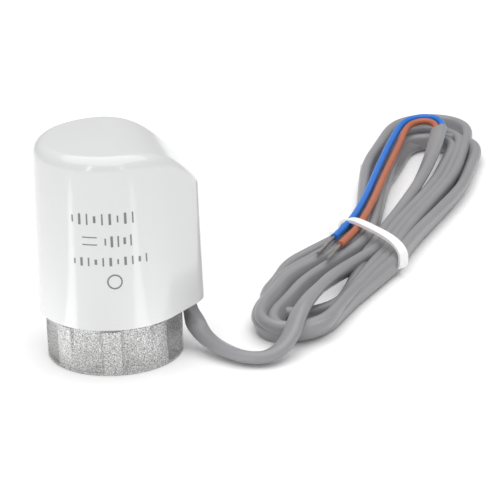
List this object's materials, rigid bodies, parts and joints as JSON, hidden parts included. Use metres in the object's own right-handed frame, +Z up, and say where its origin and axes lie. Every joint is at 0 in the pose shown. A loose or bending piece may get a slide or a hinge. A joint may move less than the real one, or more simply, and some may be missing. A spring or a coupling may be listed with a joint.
{
  "type": "electrothermal valve actuator head",
  "caption": "Plug-on actuator head for a radiator or manifold valve: teardrop cap on a threaded union nut, with a tied hank of flat two-core cable ending in bare conductors.",
  "frame": {"origin": "on the union nut's axis, in the plane of the nut's open mouth", "axes": "+Z up along the nut's and drive's axis to the cap's top, +X from that axis to the cable nose, +Y to the left seen along +X"},
  "size_m": [0.161, 0.1768, 0.06],
  "materials": {
    "white_cap": "gloss",
    "base_plastic": "satin",
    "drive_plastic": "satin, glass-filled",
    "black_rubber": "matt",
    "blasted_nickel": "sand-blasted nickel-plated brass",
    "spring_steel": "oiled",
    "zinc_steel": "zinc plated",
    "hard_steel": "ground",
    "brass": "machined",
    "slip_plastic": "matt",
    "ptc_ceramic": "silvered faces",
    "mica_sheet": "matt",
    "wax": "matt",
    "grey_jacket": "matt PVC",
    "blue_insulation": "satin PVC",
    "brown_insulation": "satin PVC",
    "tinned_copper": "dipped solder",
    "lead_insulation": "satin",
    "white_nylon": "satin"
  },
  "bodies": {
    "root": {"outer_cap": "white_cap", "base_body": "base_plastic", "cap_seal": "black_rubber", "snap_ring": "spring_steel", "main_spring": "spring_steel", "spring_retainer": "zinc_steel", "retainer_screws": "zinc_steel", "element_bridge": "drive_plastic", "heater_insulator": "mica_sheet", "lower_contact": "brass", "ptc_heater": "ptc_ceramic", "upper_contact": "brass", "wax_cup": "brass", "wax_charge": "wax", "diaphragm": "black_rubber", "piston_guide": "brass", "cable_gland": "black_rubber", "cable_clamp": "base_plastic", "clamp_screw": "zinc_steel", "jacket_end": "grey_jacket", "blue_tail": "blue_insulation", "brown_tail": "brown_insulation", "blue_inner_lead": "lead_insulation", "brown_inner_lead": "lead_insulation", "crimp_sleeves": "tinned_copper", "cable_lead": "grey_jacket", "cable_hank": "grey_jacket", "blue_core": "blue_insulation", "brown_core": "brown_insulation", "blue_strands": "tinned_copper", "brown_strands": "tinned_copper", "cable_tie": "white_nylon"},
    "valve_drive": {"lift_cage": "drive_plastic", "pressure_pad": "hard_steel", "piston": "hard_steel"},
    "nut_carrier": {"slip_washer": "slip_plastic"},
    "nut": {"union_nut": "blasted_nickel"}
  },
  "joints": [
    {"name": "drive_lift", "type": "slide", "parent": "root", "child": "valve_drive", "axis": [0, 0, 1], "range_m": [0, 0.004], "stiffness_N_per_m": 9000, "deforming": ["main_spring"]},
    {"name": "nut_slack", "type": "slide", "parent": "root", "child": "nut_carrier", "axis": [0, 0, -1], "range_m": [0, 0.001]},
    {"name": "nut_turn", "type": "hinge", "parent": "nut_carrier", "child": "nut", "pos_m": [0, 0, 0], "axis": [0, 0, 1], "continuous": true}
  ]
}
